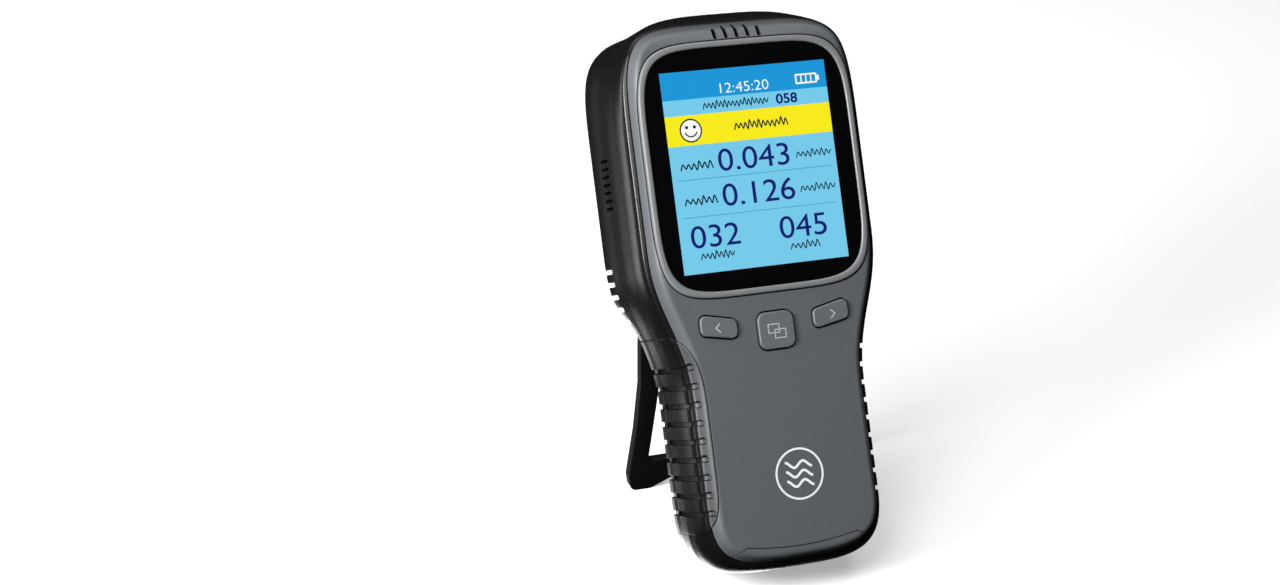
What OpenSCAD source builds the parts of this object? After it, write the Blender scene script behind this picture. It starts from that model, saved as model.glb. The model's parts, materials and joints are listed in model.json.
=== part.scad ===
// Handheld air quality monitor on its folded-out kickstand.
// Every piece is drawn in the body's own frame: X to the right, Y from the face into the body,
// Z up along the body from its tip. place() then leans the body back onto its kickstand.

/* [Body] */
// Length of the body from its tip to its crown
body_l = 200; // [198:1:202]
// Width of the head
head_w = 92; // [91:0.5:94]
// Width of the grip
grip_w = 70.4; // [70:0.2:72]
// Depth of the head
head_d = 46; // [46:0.5:47]
// Depth of the grip
grip_d = 39; // [39:0.5:40]
// Depth of the seam between the front shell and the rear shell
seam_y = 27.5; // [27:0.1:28]
// How far the face rolls back at the crown
brow_d = 7; // [5:0.5:8]
// Angle that the body leans back
lean = 32.5; // [30:0.5:34]

/* [Grips] */
// Lower end of the rubber grips
grip_z0 = 15; // [14.5:0.1:15.5]
// Upper end of the rubber grips
grip_z1 = 87; // [86.5:0.1:87.5]
// How far the grips reach in over the face at mid-height
grip_lip = 5.9; // [5.6:0.1:5.9]
// Number of grooves across each grip
groove_count = 9; // [7:1:9]
// Depth of the grooves
groove_d = 0.7; // [0.5:0.1:0.8]

/* [Window] */
// Height of the window's centre
win_z = 144.7; // [144:0.1:145]
// Half width of the lens
lens_a = 39.2; // [39:0.1:39.3]
// Half height of the lens
lens_b = 43.6; // [43.4:0.1:43.7]
// Width of the bezel ring round the lens
bezel_w = 2.2; // [2:0.1:2.3]

/* [Kickstand] */
// Depth of the hinge pin
hinge_y = 42.5; // [42.3:0.1:42.6]
// Height of the hinge pin
hinge_z = 101; // [100.8:0.1:101.2]
// Angle between the open kickstand and the back
stand_open = 30.4; // [29:0.2:32]
// Thickness of the kickstand
stand_t = 4; // [3.6:0.1:4]
// Radius of the hinge pin
pin_r = 1.5; // [1.45:0.01:1.5]

/* [Air slots] */
// Number of side air slots
side_slots = 7; // [5:1:7]
// Spacing of the side air slots
side_pitch = 2.9; // [2.8:0.1:2.9]
// Number of slots in each rear corner
corner_slots = 5; // [3:1:5]
// Spacing of the corner slots
corner_pitch = 4.75; // [4.6:0.05:4.8]

/* [Hidden] */
$fn = 48;

shell_c = "#1d1e20";
plate_c = "#5a5c5f";
rubber_c = "#232426";

// Outline: a rounded foot, a flare from grip to head, and a rounded crown
foot_b = 26;
foot_n = 3.2;
crown_b = 50;
crown_n = 5;
flare_z0 = 60;
flare_z1 = 120;
step_z0 = 86;
step_z1 = 106;
brow_z = 188;
edge = 0.1;

function smooth(t) = let (u = min(1, max(0, t))) u * u * u * (u * (6 * u - 15) + 10);
function half_w(z) = grip_w / 2 + (head_w - grip_w) / 2 * smooth((z - flare_z0) / (flare_z1 - flare_z0));
function foot_w(z, w, b, n) = (grip_w / 2 + w) * pow(1 - pow((foot_b - z) / b, n), 1 / n);
function side_w(z, w = 0, b = foot_b, n = foot_n) = z < foot_b ? foot_w(z, w, b, n) : half_w(z) + w;
function oval(a, b, n, deg) =
    let (r = pow(pow(abs(cos(deg)) / a, n) + pow(abs(sin(deg)) / b, n), -1 / n))
    [r * cos(deg), r * sin(deg)];
function back(z) = grip_d + (head_d - grip_d) * smooth((z - step_z0) / (step_z1 - step_z0));
function brow(z) = brow_d * pow(max(0, z - brow_z) / (body_l - brow_z), 2);

foot_steps = 8;
crown_steps = 14;
side_z = concat(
    [grip_z0 - edge, grip_z0 + edge, 17.5],
    [for (k = [0 : 9]) 20.5 + 6.5 * k],
    [83, 85.5, grip_z1 - edge, grip_z1 + edge],
    [for (k = [0 : 9]) 92 + 6 * k]);
function crown(w, b, n) = [for (k = [0 : crown_steps])
    oval(head_w / 2 + w, b, n, 90 * k / crown_steps) + [0, body_l - crown_b]];
function foot(w, b, n) = [for (k = [0 : foot_steps])
    oval(grip_w / 2 + w, b, n, -90 + 66 * k / foot_steps) + [0, foot_b]];
function around(half) =
    concat(half, [for (i = [len(half) - 2 : -1 : 1]) [-half[i].x, half[i].y]]);
outline = around(concat(
    foot(0, foot_b, foot_n),
    [for (z = side_z) [side_w(z), z]],
    crown(0, crown_b, crown_n)));

// The front shell swells past the plate all round, and the head widens to its back
belly_w = 0.75;
belly_foot = 1.3;
belly_foot_n = 4;
belly_crown = 2.5;
belly_crown_n = 3.6;
front_belly = around(concat(
    foot(belly_w, foot_b + belly_foot, belly_foot_n),
    [for (z = side_z) [side_w(z, belly_w, foot_b + belly_foot, belly_foot_n), z]],
    crown(belly_w, crown_b + belly_crown, belly_crown_n)));
stern_w = 1.1;
stern_crown = -1;
rear_belly = around(concat(
    foot(0, foot_b, foot_n),
    [for (z = side_z) [side_w(z) + stern_w * smooth((z - grip_z1) / 20), z]],
    crown(stern_w, crown_b + stern_crown, crown_n)));
function ramp(t) = min(1, max(0, t));
count = len(outline);
top = count / 2;

function normal(i) =
    let (t = outline[(i + 1) % count] - outline[(i + count - 1) % count])
    [t.y, -t.x] / norm(t);
normals = [for (i = [0 : count - 1]) normal(i)];

// Under the grips the shells are stepped in, and the plate ends at the grips' front edge
function gripped(z) = z > grip_z0 && z < grip_z1;
function lip(z) =
    let (mid = (grip_z0 + grip_z1) / 2, reach = abs(z - mid) * 2 / (grip_z1 - grip_z0))
    max(3, grip_lip * sqrt(max(0, 1 - pow(reach, 6))));

// A point at an inset and a depth. The face rolls back at the crown and the back steps in to the grip
function at(i, inset, y) =
    let (swell = ramp((y - 4) / 6) * ramp((36 - y) / 16) * (front_belly[i] - outline[i]),
        widen = ramp((y - 14) / 20) * (rear_belly[i] - outline[i]),
        p = outline[i] + swell + widen - inset * normals[i],
        front = ramp(1 - (y - 4.4) / 12.6),
        rear = ramp((y - 28.1) / 10.4))
    [p.x, y + front * brow(p.y) - rear * (head_d - back(p.y)), p.y];

// A row is [inset, depth, inset under the grips, depth under the grips, 1 to follow the lip]
function ring(row) = [for (i = [0 : count - 1])
    gripped(outline[i].y)
        ? at(i, max(row[0], row[2] + row[4] * lip(outline[i].y)), row[3])
        : at(i, row[0], row[1])];

// Closed dish swept through rings, each end closed by strips across the body
module dish(rows) {
    n = count;
    last = (len(rows) - 1) * n;
    strips = concat([[0, n - 1, 1]],
        [for (i = [1 : top - 2]) [i, n - i, n - i - 1, i + 1]],
        [[top - 1, top + 1, top]]);
    walls = [for (k = [0 : len(rows) - 2]) for (i = [0 : n - 1])
        let (a = k * n + i, b = k * n + (i + 1) % n)
        each [[a, b, b + n], [a, b + n, a + n]]];
    polyhedron(
        points = [for (r = rows) each ring(r)],
        faces = concat(strips, walls, [for (s = strips) [for (j = [len(s) - 1 : -1 : 0]) s[j] + last]]));
}

plate_rows = [
    [6.0, 0, 0.7, 0, 1], [4.8, 0.35, 0.15, 0.35, 1], [4.0, 1.2, 0, 1.2, 1], [3.2, 2.7, 0, 2.7, 1],
    [2.6, 4.3, 0, 4.3, 1], [4.2, 4.3, 1.5, 4.3, 1], [4.8, 2.2, 1.6, 2.2, 1], [5.4, 2.0, 2.1, 2.0, 1]];
front_rows = [
    [5.5, 2.1, 2.2, 2.1, 1], [4.95, 2.35, 1.75, 2.35, 1], [4.35, 4.4, 1.7, 4.4, 1],
    [2.3, 4.4, 3.45, 4.4, 0], [1.0, 5.0, 2.5, 5.9, 0], [0.45, 6.2, 2.05, 7.0, 0],
    [0.2, 8.5, 1.8, 9.2, 0], [0.05, 12, 1.8, 12, 0], [0, 17, 1.8, 17, 0],
    [0, seam_y - 0.6, 1.8, seam_y - 0.6, 0], [0.35, seam_y - 0.05, 1.8, seam_y - 0.05, 0],
    [2.0, seam_y - 0.05, 3.4, seam_y - 0.05, 0], [2.1, 12, 3.4, 12, 0], [2.9, 8.2, 3.8, 8.2, 0],
    [4.4, 6.2, 3.1, 6.2, 1], [6.6, 4.1, 3.7, 4.1, 1]];
rear_rows = [
    [6.2, 44, 7.8, 44, 0], [5.0, 43.7, 7.3, 42.6, 0], [3.2, 42.6, 5.6, 42.4, 0],
    [2.2, 40.6, 3.9, 41, 0], [2.0, 38.5, 3.4, 38.5, 0], [2.0, seam_y + 0.05, 3.4, seam_y + 0.05, 0],
    [0.35, seam_y + 0.05, 1.8, seam_y + 0.05, 0], [0, seam_y + 0.6, 1.8, seam_y + 0.6, 0],
    [0, 40.6, 1.8, 39.6, 0], [0.5, 43, 2.3, 42.2, 0], [1.6, 44.7, 3.3, 43.6, 0],
    [3.2, 45.7, 4.6, 44.1, 0], [5.4, 46, 5.7, 44.2, 0], [6.0, 46, 5.85, 46, 0]];

// Grip skins: closed sections swept up the body, with grooves cut across their sides
groove_z0 = 23;
groove_pitch = 6.5;
groove_w = 1.4;
chamfer = [[0, 17], [0.05, 12], [0.2, 8.5], [0.45, 6.2], [1, 5], [2.6, 4.3], [3.2, 2.7],
    [4, 1.2], [4.8, 0.35], [6, 0]];
inside = [[1.7, 9.15], [1.95, 6.95], [2.4, 5.85], [3.35, 4.33], [6, 4.33]];
grip_i = [for (i = [0 : top]) if (gripped(outline[i].y)) i];

function front_section(z) =
    let (d = lip(z) - 0.1, inset = function (k) min(chamfer[k].x, d - 0.01 * (9 - k)))
    concat([for (k = [9 : -1 : 0]) [inset(k), lookup(inset(k), chamfer)]],
        [[0, seam_y - 0.55], [0.35, seam_y - 0.1], [1.7, seam_y - 0.1], [1.7, 17], [1.7, 12]],
        [for (x = [1.7, 1.95, 2.4, min(3.35, d - 0.06), d - 0.05]) [x, lookup(x, inside)]]);
function rear_section() = [[0.35, seam_y + 0.1], [0, seam_y + 0.55], [0, 40.6], [0.5, 43],
    [1.6, 44.7], [3.2, 45.7], [5.3, 46], [5.6, 46], [5.6, 44.3], [4.6, 44.2], [3.25, 43.7],
    [2.2, 42.25], [1.7, 39.6], [1.7, seam_y + 0.1]];

// The end faces of a skin, cut into convex pieces
front_ends = [[19, 0, 1, 2, 3, 18], [18, 3, 4], [18, 4, 5, 17], [17, 5, 6, 16], [16, 6, 7, 15],
    [15, 7, 8, 14], [14, 8, 9, 13], [13, 9, 10, 11, 12]];
rear_ends = [[13, 0, 1, 2, 12], [12, 2, 3, 11], [11, 3, 4, 10], [10, 4, 5, 9], [9, 5, 6, 7, 8]];

module skin(sections, ends) {
    n = len(sections[0]);
    last = (len(sections) - 1) * n;
    polyhedron(
        points = [for (s = sections) each s],
        faces = concat(ends,
            [for (e = ends) [for (j = [len(e) - 1 : -1 : 0]) e[j] + last]],
            [for (k = [0 : len(sections) - 2]) for (j = [0 : n - 1])
                let (a = k * n + j, b = k * n + (j + 1) % n)
                each [[a, a + n, b + n], [a, b + n, b]]]));
}

module grooves(y0, y1) {
    for (k = [0 : groove_count - 1])
        let (z = groove_z0 + groove_pitch * k)
        block(side_w(z) - groove_d, 60, y0, y1, z - groove_w / 2, z + groove_w / 2);
}

// Where the leaning body touches the ground, and its reach to the front and the back
function lean_y(y, z) = y * cos(lean) + z * sin(lean);
function lean_z(y, z) = z * cos(lean) - y * sin(lean);
ground = min([for (r = rear_rows) lean_z(r[1] - head_d + grip_d, r[0])]);
near_y = min([for (r = plate_rows) lean_y(r[1] - 0.3, r[0])]);
far_y = max([for (r = rear_rows) lean_y(r[1], body_l + stern_crown - r[0])]);
shift_y = -(near_y + far_y) / 2;

module place() {
    translate([0, shift_y, -ground])
        rotate([-lean, 0, 0])
        children();
}

// Helpers in the body's frame
module slab(y0, y1) {
    translate([0, y1, 0])
        rotate([90, 0, 0])
        linear_extrude(y1 - y0)
        children();
}

module rod_y(x, z, y0, y1, r) {
    translate([x, y1, z])
        rotate([90, 0, 0])
        cylinder(h = y1 - y0, r = r);
}

module rod_x(x0, x1, y, z, r) {
    translate([x0, y, z])
        rotate([0, 90, 0])
        cylinder(h = x1 - x0, r = r);
}

module block(x0, x1, y0, y1, z0, z1) {
    translate([x0, y0, z0])
        cube([x1 - x0, y1 - y0, z1 - z0]);
}

module both() {
    children();
    mirror([1, 0, 0])
        children();
}

module window_shape(grow) {
    translate([0, win_z])
        polygon([for (k = [0 : 71]) oval(lens_a + grow, lens_b + grow, 5.5, 5 * k + 2.5)]);
}

// Keys: two mirrored wing keys and a square one
module wing_shape(grow) {
    offset(r = 2.2 + grow)
        polygon([[17.1, 86.2], [26.7, 88], [26.7, 90.9], [17.1, 88.8]]);
}

module square_shape(grow) {
    offset(r = 3.2 + grow)
        translate([-3.75, 81.5])
        square([7.5, 7]);
}

module key(grow_flange) {
    slab(-1, 2.2)
        children(0);
    slab(2.15, 3.15)
        offset(r = grow_flange)
        children(0);
}

module key_holes(y0, y1, grow) {
    slab(y0, y1)
        both()
        wing_shape(grow);
    slab(y0, y1)
        square_shape(grow);
}

wing_x = 21.9;
wing_z = 88.6;
square_z = 85;

module key_pins(y0, y1, r) {
    both()
        rod_y(wing_x, wing_z, y0, y1, r);
    rod_y(0, square_z, y0, y1, r);
}

module top_slots() {
    for (k = [-2 : 2])
        slab(-1, 10)
            translate([4.3 * k, 0])
            offset(r = 0.85)
            translate([-0.05, 191.9])
            square([0.1, 3.9 - 0.35 * k * k]);
}

slot_z0 = win_z - side_pitch * (side_slots - 1) / 2;

module side_vents() {
    both()
        for (k = [0 : side_slots - 1])
            block(40, 50, 24, 31, slot_z0 + side_pitch * k - 0.6, slot_z0 + side_pitch * k + 0.6);
}

module corner_vents() {
    both()
        for (k = [0 : corner_slots - 1])
            translate([0, 0, 113.5 - corner_pitch * k]) {
                block(36.6, 50, 34.5, 50, -0.9, 0.9);
                rod_x(36.6, 50, 34.5, 0, 0.9);
            }
}

// Screw posts: [x, z, depth of the screw's seat]
posts = [[38, 176, 38], [39.3, 117.5, 38], [24, 10, 31]];
board_posts = [[26, 22], [26, 70]];
post_r = 2.9;
fan = [-16, 134];

module front_shell() {
    color(shell_c) place() difference() {
        union() {
            dish(front_rows);
            both() {
                for (p = posts)
                    rod_y(p.x, p.y, 5.5, seam_y - 0.1, post_r);
                for (p = board_posts)
                    rod_y(p.x, p.y, 5.5, 12.9, 2.4);
            }
        }
        slab(0, 6)
            offset(r = 2)
            translate([-31, 109.4])
            square([62, 69.9]);
        key_holes(0, 7, 1.3);
        top_slots();
        side_vents();
        block(40, 50, 14.5, 18.0, 123.3, 132.7);
        both() {
            for (p = posts)
                rod_y(p.x, p.y, 19.5, seam_y + 1, 1.9);
            for (p = board_posts)
                rod_y(p.x, p.y, 7, 13.5, 1.0);
        }
    }
}

module lip_shape(grow) {
    offset(delta = grow)
        polygon(concat(
            [[-26.5, -2], [26.5, -2], [26.5, 5.2], [24.5, 7.8]],
            [for (k = [5 : -1 : -5]) [4.3 * k, 7.2 + 0.08 * k * k]],
            [[-24.5, 7.8], [-26.5, 5.2]]));
}

module face_plate() {
    color(plate_c) place() difference() {
        dish(plate_rows);
        slab(-3, 6)
            window_shape(bezel_w + 0.2);
        key_holes(-3, 6, 0.4);
        top_slots();
        slab(-3, 12)
            lip_shape(0.15);
    }
}

module bottom_bumper() {
    color(shell_c) place() translate([0, -0.3, 0]) intersection() {
        dish(plate_rows);
        slab(-3, 12)
            lip_shape(0);
    }
}

module window_bezel() {
    color("#8a8c8f") place() slab(-0.5, 2.0) difference() {
        window_shape(bezel_w + 0.1);
        window_shape(0.1);
    }
}

module window_lens() {
    color("#08090b") place() slab(0.1, 1.7)
        window_shape(0);
}

module lens_gasket() {
    color("#101010") place() slab(1.75, 2.05) difference() {
        window_shape(-0.6);
        window_shape(-3.4);
    }
}

module rear_shell() {
    color(shell_c) place() difference() {
        union() {
            dish(rear_rows);
            both()
                for (p = posts)
                    rod_y(p.x, p.y, seam_y + 0.1, back(p.y) - 1, post_r);
        }
        block(-35.6, 35.6, 30, 50, 88.2, 105.8);
        corner_vents();
        side_vents();
        both() {
            for (p = posts) {
                rod_y(p.x, p.y, 27, 50, 1.3);
                rod_y(p.x, p.y, p[2], 50, 2.3);
            }
            rod_y(22, 85.3, 34, 45, 1.2);
            rod_y(22, 85.3, 37.9, 45, 2.2);
        }
        for (k = [-3 : 3])
            slab(42, 50)
                translate([fan.x, fan.y + 2.4 * k])
                offset(r = 0.6)
                square([2 * sqrt(64 - 5.76 * k * k) - 1.2, 0.01], center = true);
    }
}

module front_grip() {
    difference() {
        skin([for (i = grip_i) [for (p = front_section(outline[i].y)) at(i, p.x, p.y)]], front_ends);
        grooves(5, seam_y + 1);
    }
}

module rear_grip() {
    difference() {
        skin([for (i = grip_i) [for (p = rear_section()) at(i, p.x, p.y)]], rear_ends);
        grooves(seam_y - 1, 37);
    }
}

module grip_front_left() {
    color(rubber_c) place() mirror([1, 0, 0])
        front_grip();
}

module grip_front_right() {
    color(rubber_c) place()
        front_grip();
}

module grip_rear_left() {
    color(rubber_c) place() mirror([1, 0, 0])
        rear_grip();
}

module grip_rear_right() {
    color(rubber_c) place()
        rear_grip();
}

module key_left() {
    color(plate_c) place() key(0.8)
        mirror([1, 0])
        wing_shape(0);
}

module key_right() {
    color(plate_c) place() key(0.8)
        wing_shape(0);
}

module key_center() {
    color(plate_c) place() key(0.8)
        square_shape(0);
}

module plunger(x, z) {
    rod_y(x, z, 3.2, 9.6, 2);
    rod_y(x, z, 3.2, 4.4, 3);
}

module plunger_left() {
    color("#c8c8c8") place()
        plunger(-wing_x, wing_z);
}

module plunger_right() {
    color("#c8c8c8") place()
        plunger(wing_x, wing_z);
}

module plunger_center() {
    color("#c8c8c8") place()
        plunger(0, square_z);
}

module key_switches() {
    color("#303030") place() {
        key_pins(10.2, 11.5, 1.2);
        for (p = [[-wing_x, wing_z], [0, square_z], [wing_x, wing_z]])
            block(p.x - 2.6, p.x + 2.6, 11.3, 12.95, p.y - 2.6, p.y + 2.6);
    }
}

// Kickstand: drawn hanging straight down from its hinge, then folded out
hinge_h = lean_z(hinge_y, hinge_z) - ground;
stand_l = (hinge_h - stand_t / 2 * sin(abs(stand_open - lean))) / cos(stand_open - lean);
knuckle_x0 = 22;
knuckle_x1 = 31;

module stand_outline() {
    difference() {
        offset(r = 3)
            offset(delta = -3)
            polygon(concat(
                [[34.1, -5], [34.1, -18], [33, -35], [33.6, -55], [35.3, -75], [34.2, -stand_l]],
                [[26, -stand_l], [18, -77.8], [9, -77.2], [-9, -77.2], [-18, -77.8], [-26, -stand_l]],
                [[-34.2, -stand_l], [-35.3, -75], [-33.6, -55], [-33, -35], [-34.1, -18], [-34.1, -5]]));
        offset(r = 2)
            offset(delta = -2)
            polygon([[25, -25], [26, -43.6], [27.9, -69], [-27.9, -69], [-26, -43.6], [-25, -25]]);
    }
}

module kickstand() {
    color("#121212") place() translate([0, hinge_y, hinge_z]) rotate([stand_open, 0, 0])
        difference() {
            union() {
                slab(-stand_t / 2, stand_t / 2)
                    stand_outline();
                both() {
                    rod_x(knuckle_x0, knuckle_x1, 0, 0, 3.2);
                    block(knuckle_x0, knuckle_x1, -stand_t / 2, stand_t / 2, -8, 0);
                }
            }
            rod_x(-40, 40, 0, 0, pin_r + 0.06);
        }
}

// Bracket: a pocket sunk in the back, with two ears on each side for the pin
module ear(x0, x1) {
    rod_x(x0, x1, hinge_y, hinge_z, 3.3);
    block(x0, x1, 38, hinge_y, hinge_z - 3.3, hinge_z + 3.3);
}

module cheek() {
    translate([34.4, 0, 0])
        rotate([90, 0, 90])
        linear_extrude(1)
        polygon(concat([[36.5, 105.6], [36.5, 88.4]],
            [for (z = [88.4 : 1.72 : 105.7]) [back(z) - 0.3, z]]));
}

module stand_bracket() {
    color("#18191a") place() difference() {
        union() {
            block(-35.4, 35.4, 36.5, 38.5, 88.4, 105.6);
            block(-35.4, 35.4, 36.5, 45.7, 104.7, 105.6);
            block(-28, 28, 34.9, 36.9, 83, 90);
            both() {
                cheek();
                ear(17, 21.7);
                ear(31.3, 34.6);
            }
        }
        rod_x(-34.4, 34.4, hinge_y, hinge_z, pin_r + 0.02);
        both()
            rod_y(22, 85.3, 34, 38, 1.05);
    }
}

module stand_pin() {
    color("silver") place()
        rod_x(-34.2, 34.2, hinge_y, hinge_z, pin_r);
}

module bracket_screws() {
    color("silver") place() both() {
        rod_y(22, 85.3, 35, 38.2, 0.95);
        rod_y(22, 85.3, 38, 39, 2.0);
    }
}

module lcd_panel() {
    color("#0c2a66") place()
        block(-35, 35, 4.3, 6.4, 106.5, 183);
}

module lcd_backlight() {
    color("#e8e8e8") place()
        block(-35, 35, 6.5, 9.5, 105.5, 183);
}

module lcd_ribbon() {
    color("#b5762a") place() translate([-9, 0, 0]) rotate([90, 0, 90]) linear_extrude(18)
        polygon([[8.5, 105.4], [8.7, 105.4], [8.7, 101], [11.3, 99.2], [11.3, 98], [11.1, 98],
            [11.1, 99.1], [8.5, 100.9]]);
}

module ribbon_connector() {
    color("#d8d2c0") place()
        block(-11, 11, 10.9, 12.95, 94, 97.9);
}

module main_board() {
    color("#1d6b3c") place() difference() {
        slab(13, 14.6)
            polygon([[-29, 15], [29, 15], [29, 84], [35, 98], [35, 123], [42.5, 123], [42.5, 133],
                [35, 133], [35, 180], [29, 187], [-29, 187], [-35, 180], [-35, 98], [-29, 84]]);
        both()
            for (p = board_posts)
                rod_y(p.x, p.y, 12, 15, 1.2);
    }
}

module board_screws() {
    color("silver") place() both()
        for (p = board_posts) {
            rod_y(p.x, p.y, 8, 14.9, 0.9);
            rod_y(p.x, p.y, 14.7, 16, 2);
        }
}

module control_chips() {
    color("#141414") place() {
        block(4, 14, 14.7, 15.9, 136, 146);
        block(6, 13, 14.7, 15.7, 120, 127);
        block(-14, -8, 14.7, 16.2, 100, 108);
        block(20, 26, 14.7, 16.4, 100, 104);
    }
}

// Particle sensor: a ducted case with a fan, a laser and a board
sensor_x0 = -42.4;
sensor_x1 = -4.5;
sensor_z0 = 121.5;
sensor_z1 = 171;

module dust_sensor_case() {
    color("#9a9da0") place() difference() {
        union() {
            difference() {
                block(sensor_x0, sensor_x1, 21.6, 40.8, sensor_z0, sensor_z1);
                block(sensor_x0 + 1.5, sensor_x1 - 1.5, 23.1, 41, sensor_z0 + 1.5, sensor_z1 - 1.5);
            }
            rod_y(fan.x, fan.y, 23, 34, 0.9);
            rod_y(fan.x, fan.y, 23, 28.5, 2.5);
        }
        block(sensor_x0 - 1, sensor_x0 + 3, 25, 33, 148, 158);
    }
}

module dust_sensor_lid() {
    color("#85888b") place() difference() {
        block(sensor_x0, sensor_x1, 40.9, 42.2, sensor_z0, sensor_z1);
        rod_y(fan.x, fan.y, 40, 43, 8.2);
    }
}

module fan_rotor() {
    color("#202020") place() difference() {
        union() {
            rod_y(fan.x, fan.y, 29, 36, 3.2);
            for (k = [0 : 6])
                translate([fan.x, 0, fan.y])
                    rotate([0, 360 / 7 * k, 0])
                    block(2.5, 8.6, 29.5, 35.5, -0.4, 0.4);
        }
        rod_y(fan.x, fan.y, 28, 35, 0.95);
    }
}

module dust_sensor_board() {
    color("#1d6b3c") place()
        block(-39, -28, 24, 25.4, 124, 146);
}

module laser_diode() {
    color("#c9a24a") place() {
        translate([-33, 30, 160])
            cylinder(h = 7, r = 2.8);
        translate([-33, 30, 158.8])
            cylinder(h = 2, r = 1.6);
    }
}

module formaldehyde_cell() {
    color("#e6e2d6") place() {
        rod_y(20, 150, 21.1, 31, 10);
        rod_y(20, 150, 30.9, 32, 8);
    }
}

module formaldehyde_board() {
    color("#1d6b3c") place()
        block(6, 34, 19.4, 21, 134, 166);
}

module gas_sensor() {
    color("#b9bcbf") place()
        block(18, 28, 14.7, 17.2, 112, 121);
}

module buzzer() {
    color("#101010") place() difference() {
        rod_y(0, 179.5, 14.7, 20.5, 6);
        rod_y(0, 179.5, 19.5, 21, 1.1);
    }
}

module usb_port() {
    color("#c0c3c6") place() {
        difference() {
            block(37.5, 45.5, 14.7, 17.9, 123.5, 132.5);
            block(39, 46, 15.1, 17.5, 123.9, 132.1);
        }
        block(38.5, 44.5, 15.95, 16.65, 124.9, 131.1);
    }
}

cell_x = 9.6;
cell_y = 26;
cell_z0 = 16.5;

module battery_cells() {
    color("#3a7bbf") place() both()
        translate([cell_x, cell_y, cell_z0]) {
            cylinder(h = 64, r = 9.2);
            translate([0, 0, 63.5])
                cylinder(h = 1.5, r = 2.8);
        }
}

module battery_tray() {
    color("#26282a") place() difference() {
        block(-20.8, 20.8, 16.1, 25, 14.6, 83);
        both()
            translate([cell_x, cell_y, cell_z0 - 0.1])
            cylinder(h = 65.3, r = 9.35);
    }
}

module battery_lead() {
    color("#b02020") place() both()
        translate([15.6, 20.4, 83.2])
        cylinder(h = 5.6, r = 0.8);
}

module battery_plug() {
    color("#ece8dc") place()
        block(-17.4, 17.4, 14.7, 22.4, 88.9, 92.5);
}

module intake_filter() {
    color("#707478") place()
        block(-43.7, -42.6, 23, 32, 133.5, 156);
}

module case_screws() {
    color("silver") place() both()
        for (p = posts) {
            rod_y(p.x, p.y, 20.5, p[2] + 0.1, 0.95);
            rod_y(p.x, p.y, p[2] + 0.02, p[2] + 1.8, 2.1);
        }
}

module thread_inserts() {
    color("goldenrod") place() both()
        for (p = posts)
            difference() {
                rod_y(p.x, p.y, 20.2, seam_y - 0.3, 1.87);
                rod_y(p.x, p.y, 20, seam_y, 1.0);
            }
}

front_shell();
face_plate();
window_bezel();
window_lens();
lens_gasket();
rear_shell();
grip_front_left();
grip_front_right();
grip_rear_left();
grip_rear_right();
bottom_bumper();
key_left();
key_center();
key_right();
plunger_left();
plunger_center();
plunger_right();
key_switches();
kickstand();
stand_bracket();
stand_pin();
lcd_panel();
lcd_backlight();
lcd_ribbon();
ribbon_connector();
main_board();
control_chips();
dust_sensor_case();
dust_sensor_lid();
dust_sensor_board();
laser_diode();
fan_rotor();
formaldehyde_cell();
formaldehyde_board();
gas_sensor();
buzzer();
usb_port();
battery_cells();
battery_tray();
battery_lead();
battery_plug();
intake_filter();
case_screws();
thread_inserts();
board_screws();
bracket_screws();
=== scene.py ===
"""Air quality monitor leaning back on its kickstand: the looks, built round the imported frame.

Pieces are drawn in the body's own frame, in millimetres: X to the right, Y from the face into
the body, Z up along the body from its tip. PLACE then leans them back into the row frame.
"""

import json
import math

import bmesh
import bpy
import numpy as np
from mathutils import Matrix, Vector


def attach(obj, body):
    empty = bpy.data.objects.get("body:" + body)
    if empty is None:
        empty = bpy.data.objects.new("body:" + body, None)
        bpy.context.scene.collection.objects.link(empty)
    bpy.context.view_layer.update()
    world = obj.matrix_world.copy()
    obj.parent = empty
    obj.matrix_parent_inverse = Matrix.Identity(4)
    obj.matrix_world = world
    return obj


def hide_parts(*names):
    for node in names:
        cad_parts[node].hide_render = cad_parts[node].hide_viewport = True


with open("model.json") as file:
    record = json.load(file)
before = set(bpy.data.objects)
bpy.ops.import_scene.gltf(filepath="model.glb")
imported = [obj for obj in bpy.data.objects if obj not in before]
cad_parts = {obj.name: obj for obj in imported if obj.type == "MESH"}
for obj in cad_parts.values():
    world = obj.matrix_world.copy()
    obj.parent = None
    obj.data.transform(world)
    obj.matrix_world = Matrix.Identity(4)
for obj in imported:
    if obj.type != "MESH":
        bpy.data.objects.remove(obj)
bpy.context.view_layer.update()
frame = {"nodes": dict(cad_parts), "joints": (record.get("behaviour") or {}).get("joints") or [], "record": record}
joints = {j["name"]: j for j in frame["joints"]}

# ------------------------------------------------------------------ the body's frame
MM = 0.001
HINGE_Y, HINGE_Z = 42.5, 101.0
push = joints["key_left_press"]["axis"]
LEAN = math.atan2(-push[2], push[1])
TILT = Matrix.Rotation(-LEAN, 4, "X")
ORIGIN = Vector(joints["stand_hinge"]["pos_m"]) - TILT @ (Vector((0, HINGE_Y, HINGE_Z)) * MM)
PLACE = Matrix.Translation(ORIGIN) @ TILT @ Matrix.Scale(MM, 4)

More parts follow.
